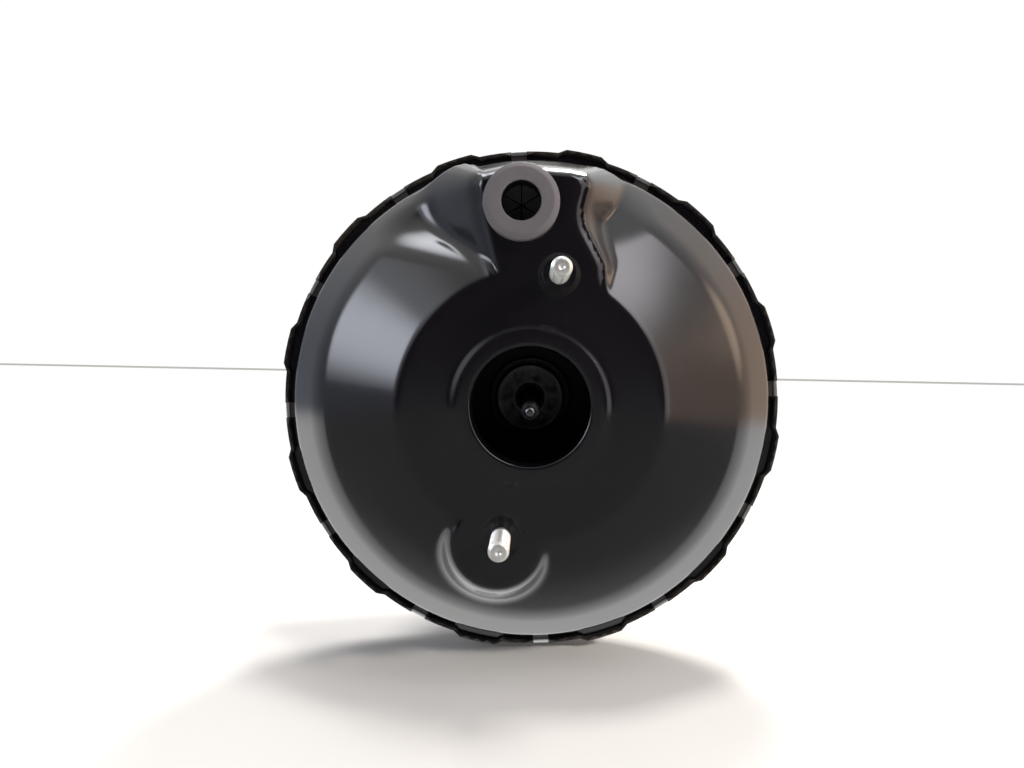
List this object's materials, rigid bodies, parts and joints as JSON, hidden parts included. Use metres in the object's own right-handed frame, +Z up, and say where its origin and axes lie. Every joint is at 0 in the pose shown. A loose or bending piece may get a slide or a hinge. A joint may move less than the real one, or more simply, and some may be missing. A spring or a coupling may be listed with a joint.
{
  "type": "vacuum brake booster",
  "caption": "Vacuum brake booster: a round pressed-steel can with a stamped front face, studs for a master cylinder, a vacuum grommet, a dust boot and a clevis rod.",
  "frame": {"origin": "Middle of the four firewall studs, on the flat rear face of the can.", "axes": "-Y points out of the front face towards the master cylinder, +Y towards the brake pedal, +Z is up as the booster is fitted, +X is to the right seen from the front."},
  "size_m": [0.232, 0.285, 0.232],
  "materials": {
    "black_paint": "satin black stoving paint on pressed steel",
    "zinc_plate": "bright zinc plate on steel",
    "black_phosphate": "dull black phosphate coat on steel",
    "spring_steel": "oiled spring steel",
    "moulded_rubber": "smooth moulded black rubber",
    "phenolic": "dark moulded thermoset",
    "nylon_black": "black moulded nylon",
    "nylon": "natural nylon",
    "felt": "grey filter felt"
  },
  "bodies": {
    "housing": {"front_shell": "black_paint", "front_reinforcement": "black_paint", "master_cylinder_studs": "zinc_plate", "vacuum_grommet": "moulded_rubber", "rear_shell": "black_paint", "rear_reinforcement": "black_paint", "firewall_studs": "zinc_plate", "guide_bush": "nylon", "rear_seal": "moulded_rubber", "seal_retainer": "zinc_plate", "dust_boot": "moulded_rubber"},
    "power_piston": {"valve_body": "phenolic", "reaction_disc": "moulded_rubber", "output_rod_retainer": "nylon_black", "diaphragm_plate": "black_phosphate", "diaphragm": "moulded_rubber", "return_spring": "spring_steel", "poppet_valve": "moulded_rubber", "poppet_retainer": "zinc_plate", "valve_spring": "spring_steel", "air_filter": "felt", "filter_silencer": "felt", "filter_retainer": "nylon_black"},
    "output_rod": {"output_push_rod": "black_phosphate", "output_rod_adjuster": "spring_steel"},
    "plunger": {"valve_plunger": "zinc_plate", "stop_key": "spring_steel"},
    "input_rod": {"input_push_rod": "zinc_plate", "rod_spring_washer": "zinc_plate", "input_rod_spring": "spring_steel", "clevis_lock_nut": "zinc_plate", "clevis": "zinc_plate"}
  },
  "joints": [
    {"name": "power_slide", "type": "slide", "parent": "housing", "child": "power_piston", "axis": [0, -1, 0], "range_m": [0, 0.032], "stiffness_N_per_m": 2000, "springref_m": -0.05, "deforming": ["diaphragm", "return_spring", "dust_boot"]},
    {"name": "plunger_slide", "type": "slide", "parent": "power_piston", "child": "plunger", "axis": [0, -1, 0], "range_m": [0, 0.002], "stiffness_N_per_m": 4000, "springref_m": -0.005, "deforming": ["input_rod_spring", "dust_boot"]},
    {"name": "input_rod_tilt", "type": "hinge", "parent": "plunger", "child": "input_rod", "pos_m": [0, 0.014, 0], "axis": [1, 0, 0], "range_deg": [-3, 3], "stiffness_Nm_per_rad": 20, "deforming": ["input_rod_spring", "dust_boot"]},
    {"name": "output_rod_tilt", "type": "hinge", "parent": "power_piston", "child": "output_rod", "pos_m": [0, -0.0184, 0], "axis": [-1, 0, 0], "range_deg": [0, 2.8]}
  ]
}
